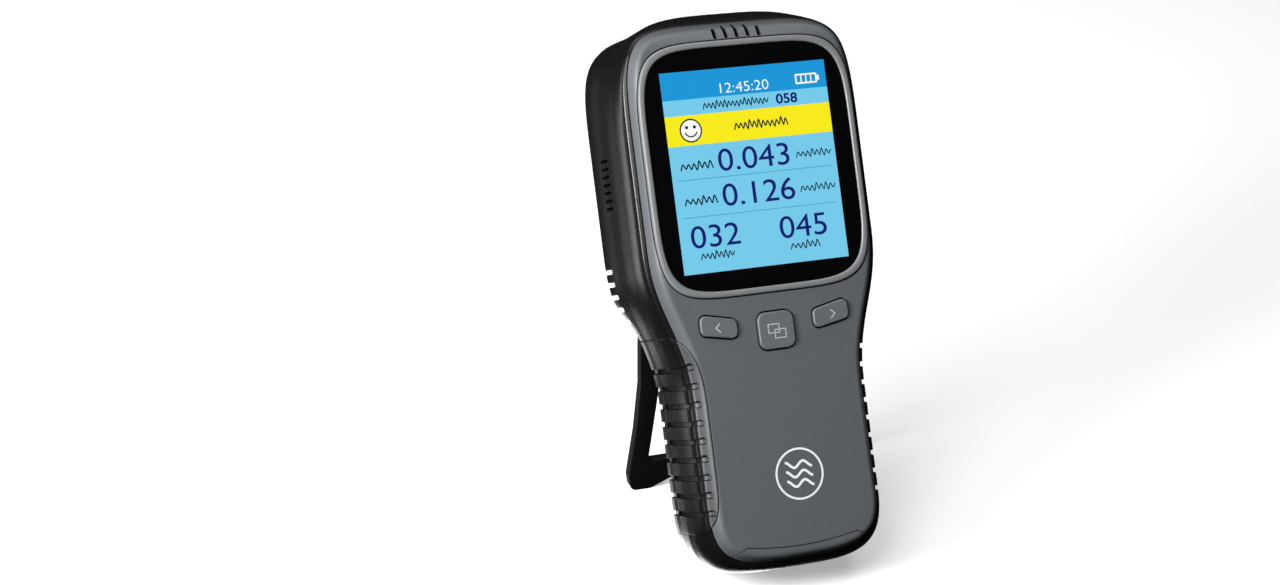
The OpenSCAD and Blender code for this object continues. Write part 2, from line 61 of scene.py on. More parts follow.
BODY_L, HEAD_W, GRIP_W, HEAD_D, GRIP_D = 200.0, 92.0, 70.4, 46.0, 39.0
SEAM_Y, BROW_D, BROW_Z = 27.5, 7.0, 188.0
FOOT_B, FOOT_N, CROWN_B, CROWN_N = 26.0, 3.2, 50.0, 5.0
BELLY_W, BELLY_FOOT, BELLY_FOOT_N, BELLY_CROWN, BELLY_CROWN_N = 0.75, 1.3, 4.0, 2.5, 3.6
STERN_W, STERN_CROWN, STERN_CROWN_N = 1.1, -1.0, 5.0
FLARE_Z, FLARE_L, STEP_Z, STEP_L = 60.0, 60.0, 86.0, 20.0
WIN_Z, LENS_A, LENS_B, WIN_N = 144.7, 39.2, 43.6, 5.5
GRIP_Z0, GRIP_Z1, GRIP_LIP = 15.4, 87.0, 5.6
SIDE_SLOTS, SIDE_PITCH = 7, 2.9
CORNER_SLOTS, CORNER_PITCH = 5, 4.75
TOP_PITCH, GRILLE_PITCH = 4.3, 2.4
# Depths at which the swell, the wider head, the crown's roll and the step in the back start and end
SWELL_Y, SWELL_RISE, SWELL_END, SWELL_FALL = 4.0, 11.0, 36.0, 16.0
WIDEN_Y, WIDEN_RISE = 14.0, 20.0
ROLL_Y, ROLL_FALL = 4.4, 12.6
BACK_Y, BACK_RISE = 28.1, 10.4


def smooth(t):
    u = np.clip(t, 0, 1)
    return u**3 * (u * (6 * u - 15) + 10)


def half_width(z, wider=0.0, foot_b=FOOT_B, foot_n=FOOT_N):
    z = np.asarray(z, float)
    side = GRIP_W / 2 + (HEAD_W - GRIP_W) / 2 * smooth((z - FLARE_Z) / FLARE_L)
    drop = np.clip((FOOT_B - z) / foot_b, 0, 1)
    foot = (GRIP_W / 2 + wider) * (1 - drop**foot_n) ** (1 / foot_n)
    return np.where(z < FOOT_B, foot, side + wider)


def belly_width(z):
    return half_width(z, BELLY_W, FOOT_B + BELLY_FOOT, BELLY_FOOT_N)


def stern_width(z):
    return half_width(z) + STERN_W * smooth((z - GRIP_Z1) / 20)


def superellipse(a, b, n, degrees):
    t = np.radians(degrees)
    c, s = np.cos(t), np.sin(t)
    r = (np.abs(c / a) ** n + np.abs(s / b) ** n) ** (-1 / n)
    return np.stack([r * c, r * s], -1)


def body_outline(width, foot_shape, crown_shape):
    foot = superellipse(*foot_shape, np.linspace(-90, -24, 44)) + (0, FOOT_B)
    side_z = np.arange(11.9, BODY_L - CROWN_B, 1.2)
    side = np.stack([width(side_z), side_z], -1)
    crown = superellipse(*crown_shape, np.linspace(0, 90, 90)) + (0, BODY_L - CROWN_B)
    half = np.concatenate([foot, side, crown])
    half[0, 0] = half[-1, 0] = 0
    return np.concatenate([half, half[-2:0:-1] * (-1, 1)])


PLAIN_FOOT = (GRIP_W / 2, FOOT_B, FOOT_N)
OUT = body_outline(half_width, PLAIN_FOOT, (HEAD_W / 2, CROWN_B, CROWN_N))
BELLY = body_outline(
    belly_width,
    (GRIP_W / 2 + BELLY_W, FOOT_B + BELLY_FOOT, BELLY_FOOT_N),
    (HEAD_W / 2 + BELLY_W, CROWN_B + BELLY_CROWN, BELLY_CROWN_N),
) - OUT
STERN = body_outline(
    stern_width,
    PLAIN_FOOT,
    (HEAD_W / 2 + STERN_W, CROWN_B + STERN_CROWN, STERN_CROWN_N),
) - OUT
step = np.roll(OUT, -1, 0) - np.roll(OUT, 1, 0)
NORMAL = np.stack([step[:, 1], -step[:, 0]], -1) / np.linalg.norm(step, axis=1)[:, None]


def at(points, normals, inset, y, belly, stern):
    """A point at an inset from the outline and a depth.

    The front shell swells past the plate and the head widens to its back. The face rolls back at
    the crown, and the back steps in to the grip.
    """
    rise = 1 - (1 - np.clip((y - SWELL_Y) / SWELL_RISE, 0, 1)) ** 2
    swell = rise * np.clip((SWELL_END - y) / SWELL_FALL, 0, 1)
    widen = np.clip((y - WIDEN_Y) / WIDEN_RISE, 0, 1)
    p = points + swell[..., None] * belly + widen[..., None] * stern - inset[..., None] * normals
    z = p[..., 1]
    brow = BROW_D * (np.maximum(0, z - BROW_Z) / (BODY_L - BROW_Z)) ** 2
    back = GRIP_D + (HEAD_D - GRIP_D) * smooth((z - STEP_Z) / STEP_L)
    front = np.clip(1 - (y - ROLL_Y) / ROLL_FALL, 0, 1)
    rear = np.clip((y - BACK_Y) / BACK_RISE, 0, 1)
    return np.stack([p[..., 0], y + front * brow - rear * (HEAD_D - back), z], -1)


# ------------------------------------------------------------------ mesh helpers
def spline(points, steps=5):
    """Points along a smooth curve through the given ones."""
    p = np.array(points, float)
    h = np.linalg.norm(np.diff(p, axis=0), axis=1)
    d = np.diff(p, axis=0) / h[:, None]
    inner = (d[:-1] * h[1:, None] + d[1:] * h[:-1, None]) / (h[:-1] + h[1:])[:, None]
    m = np.vstack([d[:1], inner, d[-1:]])
    u = np.linspace(0, 1, steps + 1)[1:, None]
    a = 2 * u**3 - 3 * u**2 + 1
    out = [p[:1]]
    for k in range(len(h)):
        bend = (u**3 - 2 * u**2 + u) * m[k] + (u**3 - u**2) * m[k + 1]
        out.append(a * p[k] + (1 - a) * p[k + 1] + h[k] * bend)
    return np.vstack(out)


def make(name, verts, faces):
    mesh = bpy.data.meshes.new(name)
    mesh.from_pydata([tuple(map(float, v)) for v in verts], [], faces)
    mesh.validate()
    obj = bpy.data.objects.new(name, mesh)
    bpy.context.scene.collection.objects.link(obj)
    return obj


def joined(name, solids):
    verts, faces = [], []
    for v, f in solids:
        faces += [[i + len(verts) for i in face] for face in f]
        verts += list(v)
    return make(name, verts, faces)


def final_mesh(obj):
    return bpy.data.meshes.new_from_object(obj.evaluated_get(bpy.context.evaluated_depsgraph_get()))


def applied(obj):
    """The object with its modifiers made part of its mesh."""
    mesh = final_mesh(obj)
    old = obj.data
    obj.modifiers.clear()
    obj.data = mesh
    bpy.data.meshes.remove(old)
    return obj


def outward(obj):
    bm = bmesh.new()
    bm.from_mesh(obj.data)
    bmesh.ops.recalc_face_normals(bm, faces=bm.faces)
    bm.to_mesh(obj.data)
    bm.free()
    return obj


def cut(obj, *cutters, operation="DIFFERENCE"):
    for c in cutters:
        outward(c)
        m = obj.modifiers.new("cut", "BOOLEAN")
        m.operation, m.solver, m.object = operation, "EXACT", c
    bpy.context.view_layer.update()
    applied(obj)
    for c in cutters:
        bpy.data.objects.remove(c)
    return obj


def band(a, b, n):
    """Faces between two rings of n points, which start at a and b."""
    return [[a + i, a + (i + 1) % n, b + (i + 1) % n, b + i] for i in range(n)]


def dish(name, profile):
    """Closed dish swept round the outline through profile points (inset, depth)."""
    n = len(OUT)
    top = n // 2
    verts = np.concatenate([
        at(OUT, NORMAL, np.full(n, inset), np.full(n, y), BELLY, STERN) for inset, y in profile
    ])
    strips = [[0, n - 1, 1]]
    strips += [[i, n - i, n - i - 1, i + 1] for i in range(1, top - 1)]
    strips += [[top - 1, top + 1, top]]
    last = (len(profile) - 1) * n
    faces = strips + [[j + last for j in reversed(s)] for s in strips]
    for k in range(len(profile) - 1):
        faces += band(k * n, (k + 1) * n, n)
    return outward(make(name, verts, faces))


def extruded(loop, lo, hi, axis="Y"):
    """Solid with a flat outline, (x, z) along Y or (y, z) along X, between two distances."""
    n = len(loop)
    if axis == "Y":
        verts = [(u, h, v) for h in (lo, hi) for u, v in loop]
    else:
        verts = [(h, u, v) for h in (lo, hi) for u, v in loop]
    faces = [list(range(n)), list(range(2 * n - 1, n - 1, -1))]
    faces += [[i, i + n, (i + 1) % n + n, (i + 1) % n] for i in range(n)]
    return verts, faces


def rounded(points, r, steps=8):
    """Convex outline, given anticlockwise, grown by r with round corners."""
    p = np.array(points, float)
    edge = np.roll(p, -1, 0) - p
    turn = np.degrees(np.arctan2(-edge[:, 0], edge[:, 1]))
    loop = []
    for k in range(len(p)):
        a = turn[k - 1]
        b = a + (turn[k] - a) % 360
        for t in np.radians(np.linspace(a, b, steps)):
            loop.append((p[k, 0] + r * math.cos(t), p[k, 1] + r * math.sin(t)))
    return loop


def box_loop(u0, u1, v0, v1, r=0.0, steps=6):
    if r:
        corners = [(u0 + r, v0 + r), (u1 - r, v0 + r), (u1 - r, v1 - r), (u0 + r, v1 - r)]
        return rounded(corners, r, steps)
    return [(u0, v0), (u1, v0), (u1, v1), (u0, v1)]


def circle_loop(u, v, r, steps=40):
    t = np.linspace(0, 2 * math.pi, steps, endpoint=False)
    return [(u + r * math.cos(a), v + r * math.sin(a)) for a in t]


def mirrored(loops):
    return loops + [[(-u, v) for u, v in loop] for loop in loops]


def window_loop(grow, steps=288):
    loop = superellipse(LENS_A + grow, LENS_B + grow, WIN_N, np.arange(steps) * 360 / steps)
    return [(x, z + WIN_Z) for x, z in loop]


def settle(obj, body="housing", materials=(), replaces=(), bevel=0.0, angle=35, steps=2):
    """Bevels and shades a piece, leans it into the row frame and sets what it rides on."""
    if bevel:
        m = obj.modifiers.new("edge", "BEVEL")
        m.width, m.segments, m.limit_method = bevel, steps, "ANGLE"
        m.angle_limit = math.radians(angle)
        m.use_clamp_overlap = True
        applied(obj)
    obj.data.transform(PLACE)
    obj.data.shade_smooth()
    obj.data.set_sharp_from_angle(angle=math.radians(angle + 5))
    m = obj.modifiers.new("shade", "WEIGHTED_NORMAL")
    m.keep_sharp = True
    applied(obj)
    if materials:
        obj.data.materials.clear()
        for name in materials:
            obj.data.materials.append(LOOK[name])
    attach(obj, body)
    if replaces:
        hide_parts(*replaces)
    return obj


# ------------------------------------------------------------------ materials
def linear(r, g, b):
    """Linear colour of an sRGB one, 0 to 255."""
    return [((c / 255 + 0.055) / 1.055) ** 2.4 if c > 10 else c / 255 / 12.92 for c in (r, g, b)]


def look(name, colour, rough, mottle=0.08, patch=12.0, grain=0.0, size=0.35, metal=0.0, coat=0.0,
         spec=0.5, glow=0.0, lit=1.0):
    """Plastic, rubber or metal with soft mottling, uneven gloss and a moulded grain, sizes in mm.

    A glowing one shines in its colour, and takes only the lit share of it as its surface's own.
    """
    mat = bpy.data.materials.new(name)
    mat.use_nodes = True
    tree = mat.node_tree
    shader = tree.nodes["Principled BSDF"]
    place = tree.nodes.new("ShaderNodeTexCoord")
    base = linear(*colour)

    def noise(mm, detail):
        n = tree.nodes.new("ShaderNodeTexNoise")
        n.inputs["Scale"].default_value = 1 / (mm * MM)
        n.inputs["Detail"].default_value = detail
        tree.links.new(place.outputs["Object"], n.inputs["Vector"])
        return n.outputs["Fac"]

    mix = tree.nodes.new("ShaderNodeMix")
    mix.data_type = "RGBA"
    mix.inputs["A"].default_value = [c * (1 - mottle) for c in base] + [1]
    mix.inputs["B"].default_value = [min(1, c * (1 + mottle)) for c in base] + [1]
    tree.links.new(noise(patch, 4), mix.inputs["Factor"])
    if lit == 1:
        tree.links.new(mix.outputs["Result"], shader.inputs["Base Color"])
    else:
        shader.inputs["Base Color"].default_value = [c * lit for c in base] + [1]
    gloss = tree.nodes.new("ShaderNodeMapRange")
    gloss.inputs["To Min"].default_value = max(0.02, rough - 0.03)
    gloss.inputs["To Max"].default_value = min(1, rough + 0.03)
    tree.links.new(noise(patch / 4, 3), gloss.inputs["Value"])
    tree.links.new(gloss.outputs["Result"], shader.inputs["Roughness"])
    if grain:
        bump = tree.nodes.new("ShaderNodeBump")
        bump.inputs["Strength"].default_value = 1.0
        bump.inputs["Distance"].default_value = grain * MM
        tree.links.new(noise(size, 2), bump.inputs["Height"])
        tree.links.new(bump.outputs["Normal"], shader.inputs["Normal"])
    if glow:
        tree.links.new(mix.outputs["Result"], shader.inputs["Emission Color"])
        shader.inputs["Emission Strength"].default_value = glow
    shader.inputs["Metallic"].default_value = metal
    shader.inputs["Specular IOR Level"].default_value = spec
    shader.inputs["Coat Weight"].default_value = coat
    shader.inputs["Coat Roughness"].default_value = 0.05
    LOOK[name] = mat
    return mat


LOOK = {}
look("black_shell", (14, 14, 15), 0.27, mottle=0.04, grain=0.0007, size=0.6, spec=0.3)
look("grey_plate", (87, 90, 94), 0.45, mottle=0.16, patch=0.8, grain=0.02, size=0.4)
look("bezel_grey", (118, 120, 122), 0.35, mottle=0.04, grain=0.006, size=0.4)
look("lens_black", (5, 5, 6), 0.06, spec=0.3)
# Grey of the front grips' edge band: partly the edge's own grey, partly a painted highlight on the black rubber
look("grip_grey", (74, 76, 78), 0.4, mottle=0.1, patch=0.8, grain=0.015, size=0.3)
look("grip_rubber", (13, 13, 14), 0.3, mottle=0.04, grain=0.003, size=0.3, spec=0.3)
look("key_grey", (96, 99, 102), 0.42, mottle=0.05, grain=0.015, size=0.28)
look("stand_black", (14, 14, 15), 0.5, grain=0.015, size=0.4, spec=0.2)
look("inner_black", (24, 24, 26), 0.6, grain=0.02)
look("silicone", (196, 196, 190), 0.5, mottle=0.05)
look("screen", (20, 46, 92), 0.2, glow=0.4)
look("diffuser", (226, 228, 230), 0.3, mottle=0.03)
look("flex", (168, 106, 38), 0.35)
look("connector", (214, 208, 190), 0.5, mottle=0.05)
look("board_green", (22, 92, 50), 0.35, patch=4)
look("chip_black", (26, 26, 28), 0.45, patch=3, grain=0.01)
look("sensor_grey", (148, 151, 154), 0.5, grain=0.02)
look("brass", (190, 150, 70), 0.32, metal=1.0)
look("steel", (188, 190, 193), 0.3, metal=1.0, patch=3)
look("cell_wrap", (48, 108, 176), 0.3, mottle=0.05)
look("filter_mesh", (96, 98, 100), 0.8, grain=0.15, size=0.5)
look("wire", (168, 28, 28), 0.4)
look("ink_white", (232, 234, 235), 0.5, mottle=0.03, patch=2)
look("icon_grey", (176, 178, 180), 0.5, mottle=0.04, patch=2)
for shade, colour in {
    "sky": (118, 203, 235),
    "header": (30, 150, 215),
    "yellow": (248, 235, 30),
    "navy": (20, 32, 112),
    "white": (250, 252, 252),
    "dark": (14, 22, 38),
    "rule": (78, 160, 200),
}.items():
    look("lcd_" + shade, colour, 0.25, mottle=0.02, patch=6, glow=0.9, spec=0.15, lit=0.08)

SLOT_OF = {p["node"]: p["material_slot"] for p in frame["record"]["subparts"]}
for node, obj in frame["nodes"].items():
    obj.data.materials.clear()
    obj.data.materials.append(LOOK[SLOT_OF[node]])

# ------------------------------------------------------------------ shells and plate
CHAMFER = spline([(6.6, 0), (6.0, 0), (4.8, 0.35), (4.0, 1.2), (3.2, 2.7), (2.6, 4.3)])
SHOULDER = spline([
    (2.3, 4.4), (1.15, 5.1), (0.65, 6.5), (0.35, 9), (0.14, 12.5), (0.03, 17), (0, 22), (0, SEAM_Y - 0.15)
])
BACK = spline([
    (0, SEAM_Y + 0.15), (0, 40.6), (0.5, 43), (1.6, 44.7), (3.2, 45.7), (5.4, HEAD_D), (7, HEAD_D)
])
GROOVE_Z0, GROOVE_PITCH, GROOVE_COUNT = 23.0, 6.5, 9
GROOVE_Z = [GROOVE_Z0 + GROOVE_PITCH * k for k in range(GROOVE_COUNT)]
GROOVE_R, GROOVE_D, GROOVE_WALL = 0.85, 0.95, 0.2
SKIN_T, SKIN_GAP, LIP_GAP = 1.3, 0.1, 0.3
# Points across a skin's inner side, and across a front grip's front edge
INNER_COLS, EDGE_COLS = 14, 52


def lip(z):
    """How far the grip reaches in over the face: deepest at mid-height, nothing at its ends."""
    mid, half = (GRIP_Z0 + GRIP_Z1) / 2, (GRIP_Z1 - GRIP_Z0) / 2
    reach = np.clip(np.abs(z - mid) / half, 0, 1)
    return GRIP_LIP * (1 - reach**5) ** 0.625


class Section:
    """The body's surface as a line from (inset, depth) to (inset, depth), measured along itself."""

    def __init__(self, points):
        self.p = points
        self.s = np.concatenate([[0], np.cumsum(np.linalg.norm(np.diff(points, axis=0), axis=1))])
        t = np.gradient(points, self.s, axis=0)
        t /= np.linalg.norm(t, axis=1)[:, None]
        self.n = np.stack([t[:, 1], -t[:, 0]], -1)

    def point(self, z, s, t):
        """At a height, a distance along the section and a depth under the surface."""
        inset = np.interp(s, self.s, self.p[:, 0]) + t * np.interp(s, self.s, self.n[:, 0])
        y = np.interp(s, self.s, self.p[:, 1]) + t * np.interp(s, self.s, self.n[:, 1])
        slope = (half_width(z + 0.05) - half_width(z - 0.05)) / 0.1
        normal = np.stack([np.ones_like(z), -slope], -1) / np.sqrt(1 + slope**2)[..., None]
        outline = half_width(z)
        belly = np.stack([belly_width(z) - outline, 0 * z], -1)
        return at(np.stack([outline, z], -1), normal, inset, y, belly, np.zeros_like(belly))

    def where(self, column, value):
        """Distance along the section at which its inset or depth reaches a value."""
        v = self.p[:, column]
        return np.interp(value, v, self.s) if v[-1] > v[0] else np.interp(-value, -v, self.s)


FRONT = Section(np.vstack([CHAMFER[:-1], SHOULDER[1:]]))
REAR = Section(BACK[BACK[:, 0] < 5.7])
SEAM_S = FRONT.s[-1]


def swept(section, z, s, depth, thickness, name):
    """Skin over the section: s and depth are its outer points at each height."""
    rows, cols = s.shape
    back = np.linspace(1, 0, INNER_COLS)[None]
    inner_s = s[:, :1] + (s[:, -1:] - s[:, :1]) * back
    outer = section.point(np.repeat(z[:, None], cols, 1), s, depth)
    inner_z = np.repeat(z[:, None], INNER_COLS, 1)
    inner = section.point(inner_z, inner_s, np.full((rows, INNER_COLS), thickness))
    loop = np.concatenate([outer, inner], 1)
    n = cols + INNER_COLS
    verts = loop.reshape(-1, 3)
    faces = [list(range(n)), list(range((rows - 1) * n, rows * n))[::-1]]
    faces += [
        [k * n + j, (k + 1) * n + j, (k + 1) * n + (j + 1) % n, k * n + (j + 1) % n]
        for k in range(rows - 1)
        for j in range(n)
    ]
    return make(name, verts, faces), n


def sided(obj, side):
    """A piece drawn on the right, as it is for side 1 or mirrored to the left for side -1."""
    obj.data.transform(Matrix.Diagonal((side, 1, 1, 1)))
    return outward(obj)


def pocket(section, start, side):
    """What the shell and the plate lose under a grip."""
    ends = 4 * (np.linspace(0, 1, 30) ** 2)
    lo, hi = GRIP_Z0 - SKIN_GAP, GRIP_Z1 + SKIN_GAP
    z = np.concatenate([lo + ends, np.linspace(lo + 4.4, hi - 4.4, 70), (hi - ends)[::-1]])
    s0 = start(z)
    stop = section.s[-1] + (2 if section is FRONT else 0.3)
    u = np.linspace(0, 1, 60)[None]
    s = s0[:, None] + (stop - s0)[:, None] * u
    obj, _ = swept(section, z, s, np.full(s.shape, -1.5), SKIN_T + SKIN_GAP, "pocket")
    return sided(obj, side)


def front_start(z, gap=0.0):
    """Where the front grip starts along the section, at each height."""
    return FRONT.where(0, np.maximum(lip(z) - gap, 0.02))


def front_pockets():
    return [pocket(FRONT, front_start, side) for side in (-1, 1)]


def rear_pockets():
    return [pocket(REAR, lambda z: np.full_like(z, -2.0), side) for side in (-1, 1)]


WING = [(17.1, 86.2), (26.7, 88), (26.7, 90.9), (17.1, 88.8)]
SQUARE = [(-3.75, 81.5), (3.75, 81.5), (3.75, 88.5), (-3.75, 88.5)]


def key_loops(grow):
    return mirrored([rounded(WING, 2.2 + grow)]) + [rounded(SQUARE, 3.2 + grow)]


def top_slot_loops():
    return [
        box_loop(TOP_PITCH * k - 0.9, TOP_PITCH * k + 0.9, 191.1, 196.6 - 0.35 * k * k, 0.85)
        for k in range(-2, 3)
    ]


def lip_loop(grow):
    """Outline of the lip across the foot, with a sagging upper edge."""
    sag = [(4.3 * k, 7.2 + 0.08 * k * k) for k in range(5, -6, -1)]
    loop = [(-26.5, -2), (26.5, -2), (26.5, 5.2), (24.5, 7.8), *sag, (-24.5, 7.8), (-26.5, 5.2)]
    p = np.array(loop, float)
    edge = np.roll(p, -1, 0) - np.roll(p, 1, 0)
    n = np.stack([edge[:, 1], -edge[:, 0]], -1) / np.linalg.norm(edge, axis=1)[:, None]
    return [tuple(q) for q in p + grow * n]


def side_vent_solids():
    middles = [WIN_Z + SIDE_PITCH * (k - SIDE_SLOTS // 2) for k in range(SIDE_SLOTS)]
    return [
        extruded(box_loop(24, 31, z - 0.6, z + 0.6, 0.5), lo, hi, "X")
        for z in middles
        for lo, hi in ((40, 50), (-50, -40))
    ]


def corner_vent_solids():
    middles = [113.5 - CORNER_PITCH * k for k in range(CORNER_SLOTS)]
    return [
        extruded(box_loop(33.6, 55, z - 0.9, z + 0.9, 0.85), lo, hi, "X")
        for z in middles
        for lo, hi in ((36.6, 50), (-50, -36.6))
    ]


# Case screws on the right, as (x, z, depth of the well's floor)
POSTS = [(38, 176, 38), (39.3, 117.5, 38), (24, 10, 31)]
# Bracket screws on the right, as (x, z, depth of the well's floor)
BRACKET_SCREW = (22, 85.3, 37.9)
FAN_X, FAN_Z, FAN_R = -16.0, 134.0, 8.0
PLATE_PROFILE = np.vstack([CHAMFER, [(4.2, 4.3), (4.8, 2.2), (5.4, 2.0)]])

plate = dish("plate", PLATE_PROFILE)
plate_holes = [window_loop(2.75), *key_loops(0.6), *top_slot_loops()]
cut(
    plate,
    joined("holes", [extruded(loop, -3, 8) for loop in plate_holes]),
    joined("lip", [extruded(lip_loop(0.35), -3, 12)]),
    *front_pockets(),
)
plate.name = "face_plate_moulding"
settle(plate, materials=["grey_plate"], replaces=["face_plate"], bevel=0.14)

shell = dish(
    "front_half",
    np.vstack([
        [(5.5, 2.1), (4.95, 2.35), (4.35, 4.4)],
        SHOULDER,
        [(0.3, SEAM_Y - 0.05), (2.0, SEAM_Y - 0.05), (2.1, 12), (2.9, 8.2), (4.4, 6.2), (6.6, 4.1)],
    ]),
)
shell_holes = [box_loop(-33, 33, 107.4, 181.3, 2), *key_loops(1.3)]
port_hole = extruded(box_loop(14.3, 18.2, 123.1, 132.9, 1.9, 10), 40, 50, "X")
cut(
    shell,
    joined("holes", [extruded(loop, -3, 8) for loop in shell_holes]
           + [extruded(loop, -3, 10) for loop in top_slot_loops()]),
    joined("vents", side_vent_solids() + [port_hole]),
    *front_pockets(),
)
shell.name = "front_shell_moulding"
settle(shell, materials=["black_shell"], replaces=["front_shell"], bevel=0.12)

rear = dish(
    "rear_half",
    np.vstack([
        [(6.2, 44), (5.0, 43.7), (3.2, 42.6), (2.2, 40.6), (2, 38.5)],
        [(2, SEAM_Y + 0.05), (0.3, SEAM_Y + 0.05)],
        BACK,
    ]),
)
grille = []
for k in range(-3, 4):
    rise = GRILLE_PITCH * k
    w, z = math.sqrt(FAN_R**2 - rise**2), FAN_Z + rise
    grille.append(extruded(box_loop(FAN_X - w, FAN_X + w, z - 0.6, z + 0.6, 0.55), 42, 50))
wells = [extruded(circle_loop(s * x, z, 2.3), y, 50) for x, z, y in POSTS for s in (-1, 1)]
x, z, y = BRACKET_SCREW
wells += [extruded(circle_loop(s * x, z, 2.2, 32), y, 50) for s in (-1, 1)]
cut(
    rear,
    joined("window", [extruded(box_loop(-35.6, 35.6, 88.2, 105.8), 30, 50)]),
    joined("slots", grille + corner_vent_solids() + wells),
    joined("vents", side_vent_solids()),
    *rear_pockets(),
)
rear.name = "rear_shell_moulding"
settle(rear, materials=["black_shell"], replaces=["rear_shell"], bevel=0.12)


# ------------------------------------------------------------------ grips
def grip_stations():
    """Heights at which a grip is drawn: close together at its ends and at its grooves."""
    fine = [np.arange(-1.1, 1.11, 0.11) + z for z in GROOVE_Z]
    near_end = np.array([0.05, 0.12, 0.2, 0.4, 0.7, 1.1, 1.6])
    ends = [GRIP_Z0 + near_end, GRIP_Z1 - near_end]
    rest = np.arange(GRIP_Z0 + 2.2, GRIP_Z1 - 2, 0.45)
    rest = rest[np.min(np.abs(rest[:, None] - np.array(GROOVE_Z)[None]), 1) > 1.2]
    return np.unique(np.round(np.concatenate([*fine, *ends, rest]), 3))


def groove_gap(z, s, end, toward):
    """Distance to the nearest groove's middle. They stop at end, and run to higher s if toward is 1."""
    past = np.maximum(0, toward * (end - s))
    return np.min([np.hypot(past, z - zc) for zc in GROOVE_Z], axis=0)


def groove_depth(gap):
    return GROOVE_D * smooth((GROOVE_R + GROOVE_WALL / 2 - gap) / GROOVE_WALL)


def edges(u, width, amount):
    """A small round-over where u reaches 0."""
    return amount * (1 - np.clip(u / width, 0, 1)) ** 2


def front_grip(name, side, node):
    z = grip_stations()
    s0 = front_start(z, LIP_GAP)
    black = np.maximum(FRONT.where(1, 4.35), s0 + 0.05)
    bend = np.maximum(FRONT.where(1, 8.0), black + 0.05)
    seam = np.full_like(z, SEAM_S)
    zones = [(s0, black, EDGE_COLS), (black, bend, 34), (bend, seam, 44)]
    s = [a[:, None] + (b - a)[:, None] * np.linspace(0, 1, n, endpoint=False) for a, b, n in zones]
    s = np.concatenate([*s, seam[:, None]], 1)
    zz = np.repeat(z[:, None], s.shape[1], 1)
    start = FRONT.where(0, 3.4)
    depth = groove_depth(groove_gap(zz, s, start, 1))
    depth = np.maximum(depth, edges(s - s[:, :1], 0.25, 0.14))
    depth = np.maximum(depth, edges(SEAM_S - s, 0.15, 0.12))
    depth = np.maximum(depth, edges(np.minimum(zz - z[0], z[-1] - zz), 0.3, 0.18))
    obj, n = swept(FRONT, z, s, depth, SKIN_T, name)
    # Faces of the front edge band take grip_grey, partly a painted highlight, and the rest are rubber
    band_and_painted_shade = np.full((len(z) - 1, n), 1)
    # Black faces round each groove's end in the grey band are painted shade of the groove's walls
    painted_groove_shade = np.abs(groove_gap(zz, s, start, 1) - GROOVE_R - 0.1) < 0.19
    band_and_painted_shade[:, :EDGE_COLS] = painted_groove_shade[:-1, :EDGE_COLS]
    obj.data.materials.append(LOOK["grip_grey"])
    obj.data.materials.append(LOOK["grip_rubber"])
    for face, index in zip(obj.data.polygons[2:], band_and_painted_shade.ravel()):
        face.material_index = int(index)
    sided(obj, side)
    settle(obj, replaces=[node], angle=30)


def rear_grip(name, side, node):
    z = grip_stations()
    end = REAR.s[-1]
    u = np.concatenate([np.linspace(0, 0.55, 26, endpoint=False), np.linspace(0.55, 1, 60)])
    s = np.repeat(end * u[None], len(z), 0)
    zz = np.repeat(z[:, None], s.shape[1], 1)
    depth = groove_depth(groove_gap(zz, s, end - 2.2, -1))
    depth = np.maximum(depth, edges(s, 0.15, 0.12))
    depth = np.maximum(depth, edges(end - s, 0.3, 0.2))
    depth = np.maximum(depth, edges(np.minimum(zz - z[0], z[-1] - zz), 0.3, 0.18))
    obj, _ = swept(REAR, z, s, depth, SKIN_T, name)
    sided(obj, side)
    settle(obj, materials=["grip_rubber"], replaces=[node], angle=30)


for side, word in ((-1, "left"), (1, "right")):
    front_grip("front_grip_" + word, side, "grip_front_" + word)
    rear_grip("rear_grip_" + word, side, "grip_rear_" + word)

# ------------------------------------------------------------------ window, lip and keys
LIP_PROUD = 0.3
# The bezel's section, as (distance out from the lens, depth)
BEZEL_ROLL = [
    (0.1, 0.5), (0.12, -0.1), (0.45, -0.42), (1.0, -0.5),
    (1.6, -0.48), (2.1, -0.28), (2.3, 0.15), (2.3, 0.9),
]
BEZEL_SECTION = np.vstack([spline(BEZEL_ROLL, 4), [(2.3, 1.9), (0.1, 1.9)]])
loops = [[(x, y, z) for x, z in window_loop(grow)] for grow, y in BEZEL_SECTION]
rows, n = len(loops), len(loops[0])
faces = [face for k in range(rows) for face in band(k * n, (k + 1) % rows * n, n)]
bezel = outward(make("bezel_ring", [v for loop in loops for v in loop], faces))
settle(bezel, materials=["bezel_grey"], replaces=["window_bezel"], angle=60)

lens = outward(joined("lens_glass", [extruded(window_loop(0), 0.1, 1.7)]))
settle(lens, materials=["lens_black"], replaces=["window_lens"], bevel=0.15)

bumper = dish("bumper", PLATE_PROFILE)
cut(bumper, joined("keeper", [extruded(lip_loop(0), -3, 12)]), operation="INTERSECT")
bumper.data.transform(Matrix.Translation((0, -LIP_PROUD, 0)))
bumper.name = "lower_lip"
settle(bumper, materials=["grey_plate"], replaces=["bottom_bumper"], bevel=0.2)


def key_cap(name, loop, body, node):
    cap = outward(joined(name, [extruded(loop, -1, 2.25)]))
    m = cap.modifiers.new("round", "BEVEL")
    m.width, m.segments, m.limit_method, m.angle_limit = 0.55, 4, "ANGLE", math.radians(50)
    applied(cap)
    settle(cap, body, ["key_grey"], [node])


key_cap("key_cap_left", [(-u, v) for u, v in rounded(WING, 2.2)], "left_key", "key_left")
key_cap("key_cap_right", rounded(WING, 2.2), "right_key", "key_right")
key_cap("key_cap_center", rounded(SQUARE, 3.2), "center_key", "key_center")


